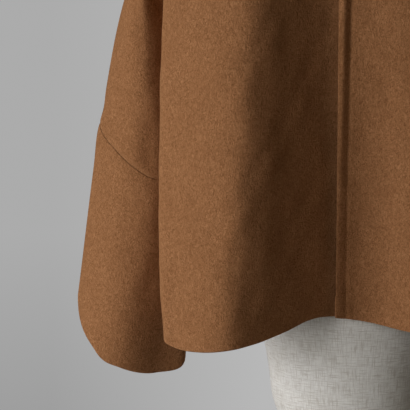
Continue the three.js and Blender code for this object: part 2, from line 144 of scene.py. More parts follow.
ARM_FRONT = table(
    ARM_COLUMNS,
    ("valley", 0, 1.76, 250, 24, UNDER_X, UNDER_D, UNDER_Z, 243, 0, 634),
    ("inner", 45, 1.84, 275, 27, 258, 42, 904, 285, 33, 617),
    ("front", 90, 1.92, 302, 47, 296, 60, 911, 337, 57, 631),
    ("round", 130, 1.97, 315, 34, 337, 46, 942, 374, 48, 653),
    ("outer", 170, 2.00, 319, 0, 368, 0, 985, 404, 0, 727))

ARM_BACK = table(
    ARM_COLUMNS,
    ("valley", 0, 1.76, 250, 24, UNDER_X, UNDER_D, UNDER_Z, 243, 0, 634),
    ("inner", 45, 1.84, 275, 38, 258, 45, 907, 259, 42, 644),
    ("back", 90, 1.92, 299, 49, 296, 60, 928, 300, 60, 678),
    ("round", 130, 1.97, 314, 32, 338, 44, 962, 360, 50, 708),
    ("outer", 170, 2.00, 319, 0, 368, 0, 985, 404, 0, 727))
ARM_ROWS = {FRONT: ARM_FRONT, BACK: ARM_BACK}
ARM_END = 170
BODY_END = {FRONT: 400, BACK: 360}

# The slopes of x, d and z across a section, at its first and its last line.
FREE = (None, None)
BODY_ENDS = {"chest": ((1, -0.1), (0, -0.9), FREE),
             "under": ((1, -0.25), (None, -1.5), FREE),
             "hem": ((1, -0.35), (None, -1.5), FREE)}
ARM_ENDS = {FRONT: {"chest": ((0.3, 0), (0.8, -1), FREE),
                    "seam": ((0.2, 0), (1.3, -1.1), (0, 1.2)),
                    "cuff": ((0, 0), (1.3, -1.1), (-1.5, 3.4))},
            BACK: {"chest": ((0.3, 0), (0.8, -1), FREE),
                   "seam": ((0.2, 0), (1.3, -1.1), (0, 0.7)),
                   "cuff": ((0, 0), (1.3, -1.1), (0, 0.5))}}

# The dress form, by height: half its width, its reach in front and behind, and how full it is.
FORM = table(
    ("z", "half_width", "front", "back", "fullness"),
    (530, 84, 60, 66, 2), (536, 95, 71, 77, 2), (552, 105, 81, 88, 2), (580, 114, 88, 97, 2),
    (620, 119, 91, 102, 2), (660, 126, 91, 107, 2), (710, 139, 92, 112, 2),
    (760, 147, 93, 114, 2), (820, 143, 93, 108, 2), (880, 129, 90, 92, 2),
    (950, 112, 84, 74, 2), (1010, 117, 90, 78, 2), (1070, 128, 100, 88, 2),
    (1120, 136, 104, 94, 2), (1165, 141, 101, 97, 2), (1210, 148, 92, 97, 2),
    (1250, 162, 80, 92, 1.95), (1282, 178, 67, 84, 1.8), (1302, 182, 55, 70, 1.5),
    (1317, 168, 49, 61, 1.3), (1332, 134, 43, 54, 1.2), (1346, 98, 43, 52, 1.25),
    (1358, 73.5, 46, 53, 1.7), (1376, 63, 48, 54, 2), (1436, 57, 48, 54, 2))


# ---- Smooth curves ----

def lerp(a, b, t):
    return a + (b - a) * t


def smoothstep(low, high, value):
    t = np.clip((value - low) / (high - low), 0.0, 1.0)
    return t * t * (3 - 2 * t)


def bell(distance, width):
    return np.exp(-(distance / width) ** 2)


def hermite(p0, m0, p1, m1, width, t):
    """A cubic over one width, from p0 to p1, that starts with slope m0 and ends with m1."""
    t2, t3 = t * t, t * t * t
    return ((2 * t3 - 3 * t2 + 1) * p0 + (t3 - 2 * t2 + t) * width * m0
            + (3 * t2 - 2 * t3) * p1 + (t3 - t2) * width * m1)


def inner_slope(before, after, width_before, width_after, taut):
    """The slope at a station. A taut curve never swings past its stations."""
    if not taut:
        return (before * width_after + after * width_before) / (width_before + width_after)
    total = before + after
    safe = np.where(total == 0, 1.0, total)
    return np.where(before * after > 0, 2 * before * after / safe, 0.0)


def along(stations, values, at, first=None, last=None, taut=False):
    """A smooth curve through values at stations, read at every place in the array at."""
    widths = np.diff(stations)
    chords = [(b - a) / w for a, b, w in zip(values, values[1:], widths)]
    slopes = [chords[0] if first is None else first]
    for i in range(1, len(chords)):
        slopes.append(inner_slope(chords[i - 1], chords[i], widths[i - 1], widths[i], taut))
    slopes.append(chords[-1] if last is None else last)
    result = 0.0
    for i, width in enumerate(widths):
        t = (at - stations[i]) / width
        piece = hermite(values[i], slopes[i], values[i + 1], slopes[i + 1], width, t)
        result = piece if i == 0 else np.where(at > stations[i], piece, result)
    return result


# ---- The coat's surface ----

def top_point(face, top):
    """A point of the neck edge (top up to 1) or of the shoulder line (1 to 2)."""
    angle = np.minimum(top, 1.0) * math.pi / 2
    depth = NECK["front_depth"] if face == FRONT else NECK["back_depth"]
    drop = NECK["front_drop"] if face == FRONT else NECK["back_drop"]
    share = np.maximum(np.cos(angle), 0.0)
    shoulder_x = lerp(NECK["half_width"], SHOULDER["end_x"], top - 1)
    shoulder_z = along([NECK["half_width"], SHOULDER["tip_x"], SHOULDER["end_x"]],
                       [NECK["z"], SHOULDER["tip_z"], SHOULDER["end_z"]],
                       shoulder_x, *SHOULDER_SLOPES)
    on_neck = top <= 1
    return (np.where(on_neck, NECK["half_width"] * np.sin(angle), shoulder_x),
            np.where(on_neck, depth * share, 0.0),
            np.where(on_neck, NECK["z"] - drop * share ** NECK_BEND, shoulder_z))


def top_slope(top):
    """The way the cloth leaves its top edge."""
    neck = (NECK_WAY[0] * smoothstep(*NECK_SPREADS, top), *NECK_WAY[1:])
    to_shoulder = smoothstep(*TURN_TO_SHOULDER, top)
    to_outer = smoothstep(*TURN_TO_OUTER, top)
    return [lerp(lerp(neck[i], SHOULDER_WAY[i], to_shoulder), OUTER_WAY[i], to_outer)
            for i in range(3)]


def section(rows, keys, across, ends):
    """One shaping section's x, d and z. A key is a column's name, or a height for the whole."""
    stations = [row["across"] for row in rows]
    found = []
    for key, (first, last) in zip(keys, ends):
        if isinstance(key, str):
            found.append(along(stations, [row[key] for row in rows], across, first, last))
        else:
            found.append(np.full_like(across, float(key)))
    return found


def down_the_cloth(rows, face, across, sections, down):
    """The surface from its top edge through its three sections."""
    top = np.interp(across, [row["across"] for row in rows], [row["top"] for row in rows])
    start, slope = top_point(face, top), top_slope(top)
    stations = [DOWN["top"], DOWN["chest"], DOWN["underarm"], DOWN["hem"]]
    return [along(stations, [start[i]] + [s[i] for s in sections], down, first=slope[i],
                  taut=True) for i in range(3)]


def off_side_plane(d):
    """Keeps a piece in front of (or behind) the plane where front and back are sewn."""
    return np.maximum(d, SEAM_GAP / 2)


def body_surface(rows, face, across, down, lap):
    sections = (section(rows, ("chest_x", "chest_d", CHEST_Z), across, BODY_ENDS["chest"]),
                section(rows, ("under_x", "under_d", UNDER_Z), across, BODY_ENDS["under"]),
                section(rows, ("hem_x", "hem_d", "hem_z"), across, BODY_ENDS["hem"]))
    x, d, z = down_the_cloth(rows, face, across, sections, down)
    if lap:
        d = d + LAP_LIFT * (1 - smoothstep(*LAP_FADE, x))
    return x, off_side_plane(d), z


def arm_surface(face, across, down):
    rows, ends = ARM_ROWS[face], ARM_ENDS[face]
    sections = (section(rows, ("chest_x", "chest_d", CHEST_Z), across, ends["chest"]),
                section(rows, ("seam_x", "seam_d", "seam_z"), across, ends["seam"]),
                section(rows, ("cuff_x", "cuff_d", "cuff_z"), across, ends["cuff"]))
    x, d, z = down_the_cloth(rows, face, across, sections, down)
    return x, off_side_plane(d), z


# ---- Folds, seams and edges, all in millimetres off the surface ----

CREASE_FADE = 0.35  # the share of its length over which a crease dies away, at each end


def crease(across, down, start, end, rise, width):
    """A soft ridge (a trough if rise is below 0) between two (across, down) points."""
    length = math.dist(start, end)
    way = ((end[0] - start[0]) / length, (end[1] - start[1]) / length)
    run = np.clip((across - start[0]) * way[0] + (down - start[1]) * way[1], 0, length)
    distance = np.hypot(across - start[0] - way[0] * run, down - start[1] - way[1] * run)
    share = run / length
    fade = smoothstep(0, CREASE_FADE, share) * (1 - smoothstep(1 - CREASE_FADE, 1, share))
    return rise * fade * bell(distance, width)


def creases(across, down, *folds):
    return sum(crease(across, down, *fold) for fold in folds)


# The slight waviness of thick cloth that hangs freely: each wave's size, its length across and
# down the cloth, and where it starts.
WAVES = ((0.35, 91, 143, 0.3), (0.22, 57, -88, 1.7), (0.16, -38, 61, 4.1))


def unevenness(across, down, phase):
    return sum(size * np.sin(2 * math.pi * (across / wide + down / tall) + turn + phase)
               for size, wide, tall, turn in WAVES)


def wave_phase(side, face):
    """Sets the waves differently on each quarter of the coat."""
    return 0.7 * side + 1.9 * face


DITCH = 0.42  # how deep a seam lies
DITCH_WIDTH = 1.3
ROLL = 0.5  # the cloth stands up softly on each side of it
ROLL_WIDTH = 9


def ditch(distance):
    """The hollow of a seam, by distance from it."""
    roll = ROLL * (distance / ROLL_WIDTH) * np.exp(1 - distance / ROLL_WIDTH)
    return roll - DITCH * bell(distance, DITCH_WIDTH)


# The left front's doubled edge. Each size goes from the first value, down to the chest, to the
# second, at the hem.
EDGE_FROM, EDGE_TO = 120, 600  # the places down the cloth where the change begins and ends
EDGE = {"lift": (4.8, 2.4),  # how far the edge stands above the panel
        "step_from": (7, -3), "step_to": (17, 15),  # its inner step, from the edge
        "stitch_at": (16, 14.5),
        "pulled": (-1.6, -0.2),  # how far the stitches draw in the cloth beside the step
        "rolled": (-1.7, -0.5), "roll_width": (3.2, 2.4),  # the rounding of the outer edge
        "leaning": (0, 1.6),  # how far the strip tips towards the panel
        "pressed": (0, -1.6)}  # how much of its thickness is pressed out
STITCH_DEPTH, STITCH_WIDTH = 0.8, 2.8
PULL_FROM, PULL_TO, PULL_WIDTH = 4, 16, 30
LEAN_FROM, LEAN_TO = -8, 30
PRESS_WIDTH = 7


def edge_size(name, down):
    return lerp(*EDGE[name], smoothstep(EDGE_FROM, EDGE_TO, down))


def doubled_edge(across, down):
    """The front edge is doubled and rolls over, and is stitched down beside its inner step."""
    def size(name):
        return edge_size(name, down)

    step = size("lift") * (1 - smoothstep(size("step_from"), size("step_to"), across))
    leaning = size("leaning") * (1 - smoothstep(LEAN_FROM, LEAN_TO, across))
    stitching = -STITCH_DEPTH * bell(across - size("stitch_at"), STITCH_WIDTH)
    pulled = (size("pulled") * smoothstep(PULL_FROM, PULL_TO, across)
              * bell(across, PULL_WIDTH))
    rolled = size("rolled") * bell(across, size("roll_width"))
    return step + leaning + stitching + pulled + rolled


def edge_thickness(across, down):
    """The front edge is pressed thin towards the hem."""
    return edge_size("pressed", down) * bell(across, PRESS_WIDTH)


HEM_TURN = 34  # depth of the turned-up hem, inside
HEM_STEP = 3  # the length over which its upper edge is pressed flat
HEM_EXTRA = 1.7  # what it adds to the thickness


def hem_thickness(down):
    """The cloth is double where the hem is turned up inside."""
    turn = DOWN["hem"] - HEM_TURN
    return CLOTH + HEM_EXTRA * smoothstep(turn - HEM_STEP, turn, down)


# ---- Shells of cloth ----

STEP = 4.4  # between the points of a shell, each way
FINE_STEP = 1.4  # the same, near edges and seams
LEAST_STEP = 0.4  # a shorter one is joined to the one before it


def spread(start, end, fine_start, fine_end):
    """Places from start to end. They are closer together for a stretch at each end."""
    places = [start]
    while places[-1] < end:
        here = places[-1]
        near = here < start + fine_start or here > end - fine_end
        places.append(min(here + (FINE_STEP if near else STEP), end))
    if places[-1] - places[-2] < LEAST_STEP:
        del places[-2]
    return np.array(places)


WELD = 0.01  # points of two patches that lie in the same cell of this size are one
RIM_ROWS = 3  # rows of points round the rounded edge of the cloth
TINY = 1e-12
KEPT_OFF = 0.2  # the share of its distance from the side plane that a crossing point keeps


class Shell:
    """Patches of one piece of cloth, welded where they meet, then given thickness and rims."""

    def __init__(self, name):
        self.name = name
        self.parts = {key: [] for key in ("point", "uv", "rise", "thick", "round", "flat")}
        self.quads = []
        self.count = 0

    def patch(self, point, uv, rise, thick, rounded, flat, flip):
        """point is rows x columns x 3; the others are a value for each point."""
        rows, columns = point.shape[:2]
        index = self.count + np.arange(rows * columns).reshape(rows, columns)
        quads = np.stack([index[:-1, :-1], index[1:, :-1], index[1:, 1:], index[:-1, 1:]], -1)
        quads = quads.reshape(-1, 4)
        self.quads.append(quads[:, ::-1] if flip else quads)
        for key, value in zip(self.parts, (point, uv, rise, thick, rounded, flat)):
            width = value.shape[2:] if np.ndim(value) > 2 else ()
            full = np.broadcast_to(value, (rows, columns) + width)
            self.parts[key].append(full.reshape((rows * columns,) + width))
        self.count += rows * columns

    def weld(self):
        """Joins points that lie together and averages what they carry."""
        data = {key: np.concatenate(value) for key, value in self.parts.items()}
        cell = np.round(data["point"] / WELD).astype(np.int64)
        _, where = np.unique(cell, axis=0, return_inverse=True)
        where = where.reshape(-1)
        size = where.max() + 1
        amount = np.bincount(where, minlength=size)

        def mean(values):
            if values.ndim == 1:
                return np.bincount(where, values, size) / amount
            return np.stack([mean(values[:, k]) for k in range(values.shape[1])], -1)

        self.point, self.rise, self.thick = (mean(data[k]) for k in ("point", "rise", "thick"))
        self.round = mean(data["round"].astype(float))
        self.flat = mean(data["flat"].astype(float)) > 0.5
        self.uv = data["uv"]
        self.corner = np.concatenate(self.quads)
        self.face = where[self.corner]

    def normals(self):
        """Normals out of the cloth. At the sewn side plane they stay in that plane."""
        p = self.point[self.face]
        normal = np.cross(p[:, 2] - p[:, 0], p[:, 3] - p[:, 1])
        total = np.zeros_like(self.point)
        for k in range(4):
            np.add.at(total, self.face[:, k], normal)
        total[self.flat, 1] = 0.0
        return total / np.maximum(np.linalg.norm(total, axis=1, keepdims=True), TINY)

    def free_edges(self):
        """Each edge of one quad only, as (from, to, uv corner from, uv corner to)."""
        start = self.face.reshape(-1)
        end = np.roll(self.face, -1, axis=1).reshape(-1)
        corner_start = self.corner.reshape(-1)
        corner_end = np.roll(self.corner, -1, axis=1).reshape(-1)
        low, high = np.minimum(start, end), np.maximum(start, end)
        code = low.astype(np.int64) * (len(self.point) + 1) + high
        _, first, amount = np.unique(code, return_index=True, return_counts=True)
        free = first[amount == 1]
        free = free[start[free] != end[free]]
        return start[free], end[free], corner_start[free], corner_end[free]

    def inner_layer(self, normal):
        """The inside of the cloth, kept on its own side of the side plane in a tight fold."""
        inner = self.point - normal * self.thick[:, None]
        crossed = (inner[:, 1] * self.point[:, 1] < 0) & ~self.flat
        inner[crossed, 1] = KEPT_OFF * self.point[crossed, 1]
        return inner

    def outward(self, start, end, normal):
        """For each point of a free edge, the way out of the cloth along the surface."""
        out = np.zeros_like(self.point)
        away = np.cross(self.point[end] - self.point[start], normal[start] + normal[end])
        np.add.at(out, start, away)
        np.add.at(out, end, away)
        return out / np.maximum(np.linalg.norm(out, axis=1, keepdims=True), TINY)

    def rim_layers(self, at, normal, out):
        """Rows of points round the edge, from the outside to the inside of the cloth."""
        half = self.thick[at, None] / 2
        layers = []
        for k in range(1, RIM_ROWS + 1):
            angle = math.pi * k / (RIM_ROWS + 1)
            bulge = self.round[at, None] * math.sin(angle) * half
            sink = (1 - math.cos(angle)) * half
            layers.append(self.point[at] + out[at] * bulge - normal[at] * sink)
        return layers

    def build(self):
        """The finished mesh: outside, inside, and a rim round every free edge."""
        self.weld()
        self.point = self.point + self.normals() * self.rise[:, None]
        normal = self.normals()
        start, end, corner_start, corner_end = self.free_edges()
        count = len(self.point)
        at = np.unique(np.concatenate([start, end]))
        place_on_rim = np.full(count, -1)
        place_on_rim[at] = np.arange(len(at))
        layers = [self.point, self.inner_layer(normal)]
        layers += self.rim_layers(at, normal, self.outward(start, end, normal))

        def ring(points, k):
            """The indices of the free edges' points in row k of the rim."""
            if k == 0:
                return points
            if k > RIM_ROWS:
                return points + count
            return 2 * count + (k - 1) * len(at) + place_on_rim[points]

        faces = [self.face, self.face[:, ::-1] + count]
        corners = [self.corner, self.corner[:, ::-1]]
        for k in range(RIM_ROWS + 1):
            faces.append(np.stack([ring(end, k), ring(start, k),
                                   ring(start, k + 1), ring(end, k + 1)], -1))
            corners.append(np.stack([corner_end, corner_start, corner_start, corner_end], -1))
        return make_mesh(self.name, np.concatenate(layers) * MM, np.concatenate(faces).tolist(),
                         self.uv[np.concatenate(corners).reshape(-1)] * MM)


def make_mesh(name, points, faces, uv=None):
    """A smooth mesh in the scene. faces is a list, and uv has a row for each face's corner."""
    mesh = bpy.data.meshes.new(name)
    mesh.from_pydata(points.tolist(), [], faces)
    if uv is not None:
        layer = mesh.uv_layers.new(name="cloth")
        layer.data.foreach_set("uv", uv.astype(np.float32).reshape(-1))
    mesh.shade_smooth()
    obj = bpy.data.objects.new(name, mesh)
    bpy.context.scene.collection.objects.link(obj)
    return obj


# ---- The coat's pieces ----

HEM_END = DOWN["hem"] - 2  # the hem's rounded edge makes up the rest
BODY_DOWNS = spread(DOWN["top"], HEM_END, fine_start=6, fine_end=10)
BODY_DOWNS[np.argmin(np.abs(BODY_DOWNS - DOWN["underarm"]))] = DOWN["underarm"]
UPPER_ROWS = BODY_DOWNS <= DOWN["underarm"]
ARM_ACROSS = spread(0, ARM_END, fine_start=0, fine_end=6)
SLEEVE_DOWNS = spread(DOWN["underarm"], HEM_END, fine_start=8, fine_end=10)

# The creases, each as its start and end, (across, down), then its rise and its width. They come
# from the armholes, and from the way that the skirt and the sleeves swing.
BODY_FOLDS = {
    "front_right": (((325, 440), (325, 650), 2.2, 34), ((196, 60), (180, 260), 0.8, 20),
                    ((176, 300), (180, 640), 0.9, 22), ((214, 470), (229, 605), -0.8, 9),
                    ((256, 210), (248, 420), 0.9, 18), ((250, 480), (250, 780), 0.8, 24),
                    ((206, 450), (204, 780), -1.3, 26)),
    "front_left": (((325, 430), (322, 640), 1.8, 34), ((196, 380), (204, 640), -1.7, 16),
                   ((140, 100), (176, 270), -1.3, 14), ((258, 330), (240, 610), -1.3, 17),
                   ((280, 190), (236, 330), 1.2, 15), ((96, 300), (104, 600), 1.1, 19)),
    "back_right": (((58, 240), (66, 645), -2.6, 24), ((140, 330), (150, 645), 1.9, 20),
                   ((290, 240), (226, 520), -2.0, 18), ((110, 70), (196, 210), -1.6, 17),
                   ((206, 420), (214, 645), -1.5, 15), ((20, 120), (34, 360), 1.1, 20)),
    "back_left": (((72, 280), (84, 645), -2.2, 22), ((128, 250), (136, 600), 1.7, 18),
                  ((296, 260), (240, 500), -1.8, 17), ((120, 60), (210, 230), -1.9, 18),
                  ((180, 400), (176, 645), -1.7, 16), ((24, 300), (18, 600), 1.2, 20)),
}
ARM_FOLDS = {
    "front_right": (((106, 345), (110, 450), 1.8, 13), ((80, 330), (92, 450), -1.7, 10),
                    ((118, 90), (96, 300), -0.9, 14)),
    "front_left": (((60, 210), (112, 400), -1.8, 14), ((92, 330), (98, 450), 1.5, 13),
                   ((124, 80), (104, 260), -1.1, 14)),
    "back_right": (((44, 190), (122, 400), -2.2, 15), ((70, 120), (120, 300), 1.4, 14),
                   ((30, 300), (86, 440), -1.5, 12)),
    "back_left": (((40, 220), (110, 410), -2.0, 15), ((84, 100), (126, 260), 1.5, 15),
                  ((26, 330), (70, 440), -1.4, 12)),
}
SLEEVE_FOLDS = {
    "front_right": (((103, 420), (96, 640), 1.1, 13), ((60, 450), (74, 600), -0.9, 12),
                    ((140, 470), (128, 640), -0.8, 13), ((30, 520), (16, 720), -4.8, 34)),
    "front_left": (((96, 430), (104, 640), 1.3, 14), ((52, 440), (72, 590), -1.2, 12),
                   ((138, 500), (122, 640), -1.0, 12)),
    "back_right": (((40, 430), (118, 600), -1.9, 14), ((66, 420), (140, 560), 1.2, 13),
                   ((96, 500), (104, 640), -1.2, 14)),
    "back_left": (((46, 430), (108, 620), -1.7, 14), ((84, 420), (138, 540), 1.3, 13),
                  ((60, 520), (76, 640), 1.1, 15)),
}


def placed(side, face, x, d, z):
    """Points in the room's own axes, still in millimetres."""
    return np.stack([side * x, face * d, z], -1)


# The arm is drawn in a little just above the armhole seam and is fuller just below it.
FULL_RISE, FULL_AT, FULL_WIDTH = 1.7, 452, 24
DRAWN_RISE, DRAWN_AT, DRAWN_WIDTH = -1.3, 402, 18
RING_FADE = (10, 60)


def armhole_ring(across, down):
    """How far the arm stands off its surface beside the armhole seam."""
    ring = (FULL_RISE * bell(down - FULL_AT, FULL_WIDTH)
            + DRAWN_RISE * bell(down - DRAWN_AT, DRAWN_WIDTH))
    return ring * smoothstep(*RING_FADE, across)


TOP_FADE = 30  # the creases grow over this distance from the top edge
SIDE_FADE = 30  # and from the side seam, or the valley between body and arm
ARMHOLE_FADE = 20  # and from the armhole seam
OUTER_FADE = (130, 168)  # on the arm they are lost between these lines, before its outer fold
HIDDEN_FADE = (10, 60)  # and inside the lap, on the right front
LAP_FINE = 24  # width of the strip of small faces beside the doubled edge


def body_rise(key, side, face, across, down, top, lap):
    """How far a panel's folds and seams stand off its surface."""
    end = BODY_END[face]
    rise = creases(across, down, *BODY_FOLDS[key])
    rise = rise + unevenness(across, down, wave_phase(side, face))
    rise = rise * smoothstep(0, TOP_FADE, down) * (1 - smoothstep(end - SIDE_FADE, end, across))
    rise = rise + np.where(top >= 1, ditch(down), 0.0)
    rise = rise + np.where(down >= DOWN["underarm"], ditch(end - across), 0.0)
    if lap:
        rise = rise + doubled_edge(across, down)
    elif face == FRONT:
        rise = rise * smoothstep(*HIDDEN_FADE, across)
    return rise


def add_body(shell, key, side, face, rows, lap=False):
    """Half a panel's body, from its middle to the side seam."""
    end = BODY_END[face]
    across = spread(0, end, fine_start=LAP_FINE if lap else 0, fine_end=6)
    a, dn = np.meshgrid(across, BODY_DOWNS)
    top = np.interp(a, [row["across"] for row in rows], [row["top"] for row in rows])
    thick = hem_thickness(dn) + (edge_thickness(a, dn) if lap else 0)
    on_shoulder = (dn == 0) & (top >= 1)
    on_side = (a == end) & (dn > DOWN["underarm"])
    on_seam = on_shoulder | on_side
    shell.patch(placed(side, face, *body_surface(rows, face, a, dn, lap)),
                np.stack([side * a, -dn], -1), body_rise(key, side, face, a, dn, top, lap),
                thick, ~on_seam, on_seam, side * face > 0)


def add_arm(shell, key, side, face):
    """The upper arm, which is cut in one with the panel down to the armhole seam."""
    a, dn = np.meshgrid(ARM_ACROSS, BODY_DOWNS[UPPER_ROWS])
    from_middle = a + BODY_END[face]
    to_seam = DOWN["underarm"] - dn
    rise = creases(a, dn, *ARM_FOLDS[key])
    rise = rise + unevenness(from_middle, dn, wave_phase(side, face))
    rise = rise * smoothstep(0, TOP_FADE, dn) * smoothstep(0, SIDE_FADE, a)
    rise = rise * (1 - smoothstep(*OUTER_FADE, a)) * smoothstep(0, ARMHOLE_FADE, to_seam)
    rise = rise + ditch(to_seam) + armhole_ring(a, dn) + ditch(dn)
    on_seam = (dn == 0) | (a == ARM_END)
    shell.patch(placed(side, face, *arm_surface(face, a, dn)),
                np.stack([side * from_middle, -dn], -1), rise, np.full(a.shape, CLOTH),
                np.zeros(a.shape, bool), on_seam, side * face > 0)


def across_armhole(side, face):
    """How far the sleeve's edge lies below the panel's, to stay ARMHOLE_GAP from it."""
    def at(a, dn):
        return placed(side, face, *arm_surface(face, a, dn))

    a, dn = ARM_ACROSS, np.full(ARM_ACROSS.shape, float(DOWN["underarm"]))
    seam = at(np.minimum(a + 1, ARM_END), dn) - at(np.maximum(a - 1, 0), dn)
    way = at(a, dn + 1) - at(a, dn)
    way /= np.linalg.norm(way, axis=1, keepdims=True)
    seam /= np.linalg.norm(seam, axis=1, keepdims=True)
    sine = np.linalg.norm(np.cross(way, seam), axis=1, keepdims=True)
    return way * ARMHOLE_GAP / sine


def add_sleeve_face(shell, key, side, face):
    """The front or the back of a sleeve, from its inner to its outer fold."""
    a, dn = np.meshgrid(ARM_ACROSS, SLEEVE_DOWNS)
    from_middle = a + BODY_END[face]
    from_seam = dn - DOWN["underarm"]
    point = placed(side, face, *arm_surface(face, a, dn))
    point[0] += across_armhole(side, face)
    on_fold = (a == 0) | (a == ARM_END)
    point[on_fold, 1] = 0.0
    rise = creases(a, dn, *SLEEVE_FOLDS[key])
    rise = rise + unevenness(from_middle, dn, wave_phase(side, face))
    rise = rise * smoothstep(0, SIDE_FADE, a) * (1 - smoothstep(*OUTER_FADE, a))
    rise = rise * smoothstep(0, ARMHOLE_FADE, from_seam) + ditch(from_seam) + armhole_ring(a, dn)
    shell.patch(point, np.stack([side * from_middle, -dn], -1), rise, hem_thickness(dn),
                dn > DOWN["underarm"], on_fold, side * face > 0)


def sleeve(name, side):
    """A sleeve from the armhole seam to the cuff, as a tube."""
    hand = "right" if side == RIGHT else "left"
    shell = Shell(name)
    add_sleeve_face(shell, f"front_{hand}", side, FRONT)
    add_sleeve_face(shell, f"back_{hand}", side, BACK)
    return shell.build()


def panel(name, *halves):
    """A front, which is one half, or the back, which is two."""
    shell = Shell(name)
    for key, side, face, rows, *lap in halves:
        add_body(shell, key, side, face, rows, *lap)
        add_arm(shell, key, side, face)
    return shell.build()


# ---- Materials ----

def linear(*srgb):
    """An sRGB colour, 0 to 255, as the linear colour that Blender takes."""
    parts = [c / 255 for c in srgb]
    return [c / 12.92 if c <= 0.04045 else ((c + 0.055) / 1.055) ** 2.4 for c in parts] + [1.0]


class Nodes:
    """Shorthand for building one material's nodes."""

    def __init__(self, name):
        self.material = bpy.data.materials.new(name)
        self.material.use_nodes = True
        self.tree = self.material.node_tree
        self.shader = self.tree.nodes["Principled BSDF"]

    def node(self, kind, links=(), **values):
        """A new node. links feeds its inputs, with another node's output or a fixed value."""
        made = self.tree.nodes.new(kind)
        for key, value in values.items():
            setattr(made, key, value)
        for target, source in dict(links).items():
            self.put(made, target, source)
        return made

    def put(self, node, target, source):
        socket = node.inputs[target]
        if isinstance(source, bpy.types.NodeSocket):
            self.tree.links.new(source, socket)
        else:
            socket.default_value = source

    def noise(self, which, scale, detail, rough, distortion=0.0):
        """Noise over the object's own coordinates or the cloth's UVs, stretched by scale."""
        source = self.node("ShaderNodeTexCoord").outputs[which]
        place = self.node("ShaderNodeMapping", {"Vector": source, "Scale": scale}).outputs[0]
        return self.node("ShaderNodeTexNoise",
                         {"Vector": place, "Scale": 1.0, "Detail": detail, "Roughness": rough,
                          "Distortion": distortion}).outputs[0]

    def ramp(self, value, low, high, to_low=0.0, to_high=1.0):
        """Turns the range low to high into the range to_low to to_high."""
        return self.node("ShaderNodeMapRange",
                         {"Value": value, "From Min": low, "From Max": high,
                          "To Min": to_low, "To Max": to_high}).outputs[0]

    def math(self, operation, a, b):
        return self.node("ShaderNodeMath", {0: a, 1: b}, operation=operation).outputs[0]

    def mix(self, share, a, b):
        return self.node("ShaderNodeMix", {0: share, 6: a, 7: b}, data_type="RGBA").outputs[2]

    def bump(self, height, strength, distance):
        return self.node("ShaderNodeBump", {"Height": height, "Strength": strength,
                                            "Distance": distance}).outputs[0]

    def set(self, **values):
        """Sets the shader's inputs, with _ for a space in their names."""
        for key, value in values.items():
            self.put(self.shader, key.replace("_", " "), value)
        return self.material


# Colours, in sRGB.
WOOL = {"root": (126, 83, 50), "tip": (176, 125, 87), "patch": (140, 94, 60),
        "sheen": (240, 200, 150)}
LINEN = {"low": (210, 208, 205), "high": (224, 223, 222), "bright": (236, 235, 231),
         "slub": (168, 158, 147)}
WOOD = {"low": (112, 78, 50), "high": (158, 120, 82)}
STEEL = {"low": (150, 152, 155), "high": (176, 178, 181)}
FLOOR = {"low": (212, 212, 214), "high": (217, 217, 218)}

# How large each pattern is: waves to the metre, along x, y and z or along the cloth's two ways.
CURLS, SPECKS, PATCHES = (390, 390, 270), (980, 980, 760), (46, 46, 30)
WARP, WEFT, LINEN_CLOUD = (560, 50, 1), (44, 560, 1), (22, 22, 22)
GRAIN, BRUSHING, SMUDGES, FLOOR_CLOUD = (60, 14, 420), (34, 34, 900), (14, 14, 14), (3, 3, 3)


def wool_material():
    """Brushed wool: curls of nap with single fibres among them, over soft uneven patches."""
    w = Nodes("wool")
    curls = w.noise("Object", CURLS, detail=2, rough=0.62, distortion=1.5)
    specks = w.noise("Object", SPECKS, detail=2, rough=0.6)
    patches = w.noise("Object", PATCHES, detail=3, rough=0.5)
    nap = w.math("ADD", w.math("MULTIPLY", curls, 0.7), w.math("MULTIPLY", specks, 0.3))
    fibre = w.mix(w.ramp(nap, 0.38, 0.62), linear(*WOOL["root"]), linear(*WOOL["tip"]))
    colour = w.mix(w.ramp(patches, 0.35, 0.65, 0.0, 0.22), fibre, linear(*WOOL["patch"]))
    height = w.math("ADD", nap, w.math("MULTIPLY", patches, 0.5))
    return w.set(Base_Color=colour, Roughness=w.ramp(nap, 0.3, 0.7, 0.88, 1.0),
                 Normal=w.bump(height, 1.0, 0.0026), Sheen_Weight=0.12, Sheen_Roughness=0.6,
                 Sheen_Tint=linear(*WOOL["sheen"]), Specular_IOR_Level=0.06)


def linen_material():
    """Linen: dark slubs and bright threads both ways, over a faint cloudiness."""
    w = Nodes("linen")
    warp = w.noise("UV", WARP, detail=4, rough=0.62)
    weft = w.noise("UV", WEFT, detail=4, rough=0.62)
    cloud = w.noise("Object", LINEN_CLOUD, detail=3, rough=0.5)
    slubs = w.math("MAXIMUM", w.ramp(warp, 0.5, 0.68), w.ramp(weft, 0.5, 0.68))
    bright = w.math("MAXIMUM", w.ramp(warp, 0.34, 0.48, 1, 0), w.ramp(weft, 0.34, 0.48, 1, 0))
    pale = w.mix(w.ramp(cloud, 0.3, 0.7), linear(*LINEN["low"]), linear(*LINEN["high"]))
    lit = w.mix(w.math("MULTIPLY", bright, 0.5), pale, linear(*LINEN["bright"]))
    colour = w.mix(w.math("MULTIPLY", slubs, 0.6), lit, linear(*LINEN["slub"]))
    weave = w.math("ADD", warp, weft)
    return w.set(Base_Color=colour, Roughness=w.ramp(weave, 0.6, 1.4, 0.8, 0.95),
                 Normal=w.bump(weave, 0.5, 0.0009), Specular_IOR_Level=0.25)


def wood_material():
    """Satin wood, with its grain lying flat."""
    w = Nodes("wood")
    grain = w.noise("Object", GRAIN, detail=5, rough=0.6)
    colour = w.mix(w.ramp(grain, 0.35, 0.65), linear(*WOOD["low"]), linear(*WOOD["high"]))
    return w.set(Base_Color=colour, Roughness=w.ramp(grain, 0.3, 0.7, 0.35, 0.5),
                 Normal=w.bump(grain, 0.2, 0.0004))


